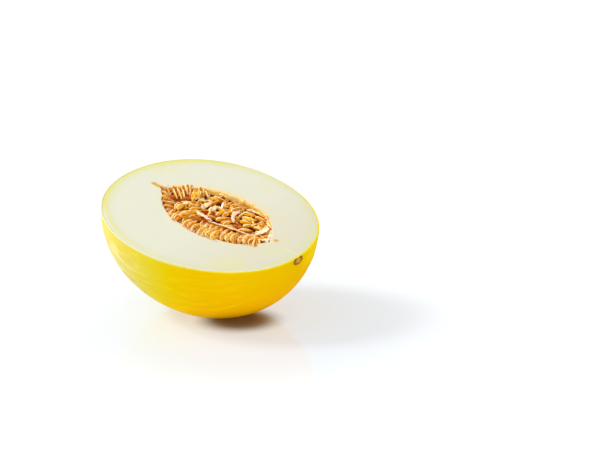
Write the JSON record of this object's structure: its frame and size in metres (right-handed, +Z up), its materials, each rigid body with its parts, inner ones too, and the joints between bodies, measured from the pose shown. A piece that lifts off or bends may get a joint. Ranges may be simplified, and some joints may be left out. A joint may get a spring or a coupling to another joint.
{
  "type": "honeydew melon half",
  "caption": "Half of a yellow honeydew melon, cut lengthwise through its stem scar, pale flesh up, with its amber seeds still lying in the cavity.",
  "frame": {"origin": "middle of the small flat spot that the half rests on", "axes": "+Z up; +X level under the fruit's long axis, towards the stem scar; the half leans with its stem end down and its cut face turned a little towards -Y"},
  "size_m": [0.1663, 0.1467, 0.0994],
  "materials": {
    "flesh": "freshly cut, moist, slightly translucent white flesh under a pale skin line",
    "rind": "smooth waxy yellow rind with fine lengthwise wrinkles and a soft shine",
    "scar": "dry corky brown stem scar",
    "seeds": "wet amber seeds with a glassy film of juice",
    "pulp": "wet translucent pulp and strands between the seeds"
  },
  "bodies": {
    "root": {"melon_half": "flesh", "seed_mass": "seeds"}
  },
  "joints": []
}
